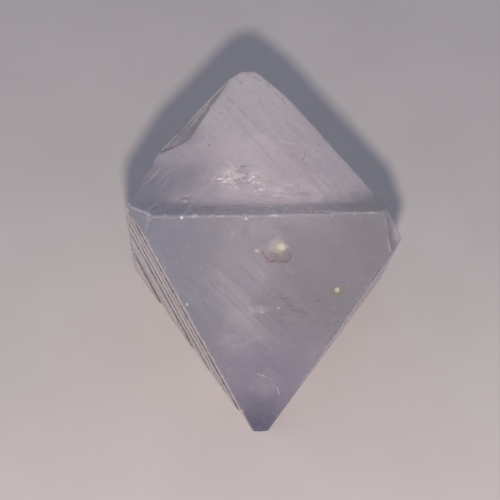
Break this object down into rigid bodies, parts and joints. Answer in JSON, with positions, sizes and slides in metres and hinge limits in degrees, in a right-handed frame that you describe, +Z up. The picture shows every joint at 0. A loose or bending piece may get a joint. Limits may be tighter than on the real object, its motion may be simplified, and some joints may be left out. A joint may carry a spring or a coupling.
{
  "type": "fluorite octahedron",
  "caption": "Cleaved octahedral crystal of milky lilac-grey fluorite, lying on one cleavage face, for display or as a mineral specimen.",
  "frame": {"origin": "on the resting face's plane, under the centre of the crystal's bounding box", "axes": "+Z up from the resting face to the level upper face; the long upper ridge runs along X; the leaning kite-shaped front face looks towards -Y"},
  "size_m": [0.025, 0.0282, 0.0206],
  "materials": {
    "fluorite": "milky translucent pale lilac-grey crystal with inner veils, vitreous cleavage faces with fine steps and small chips"
  },
  "bodies": {
    "root": {"fluorite_octahedron": "fluorite"}
  },
  "joints": []
}
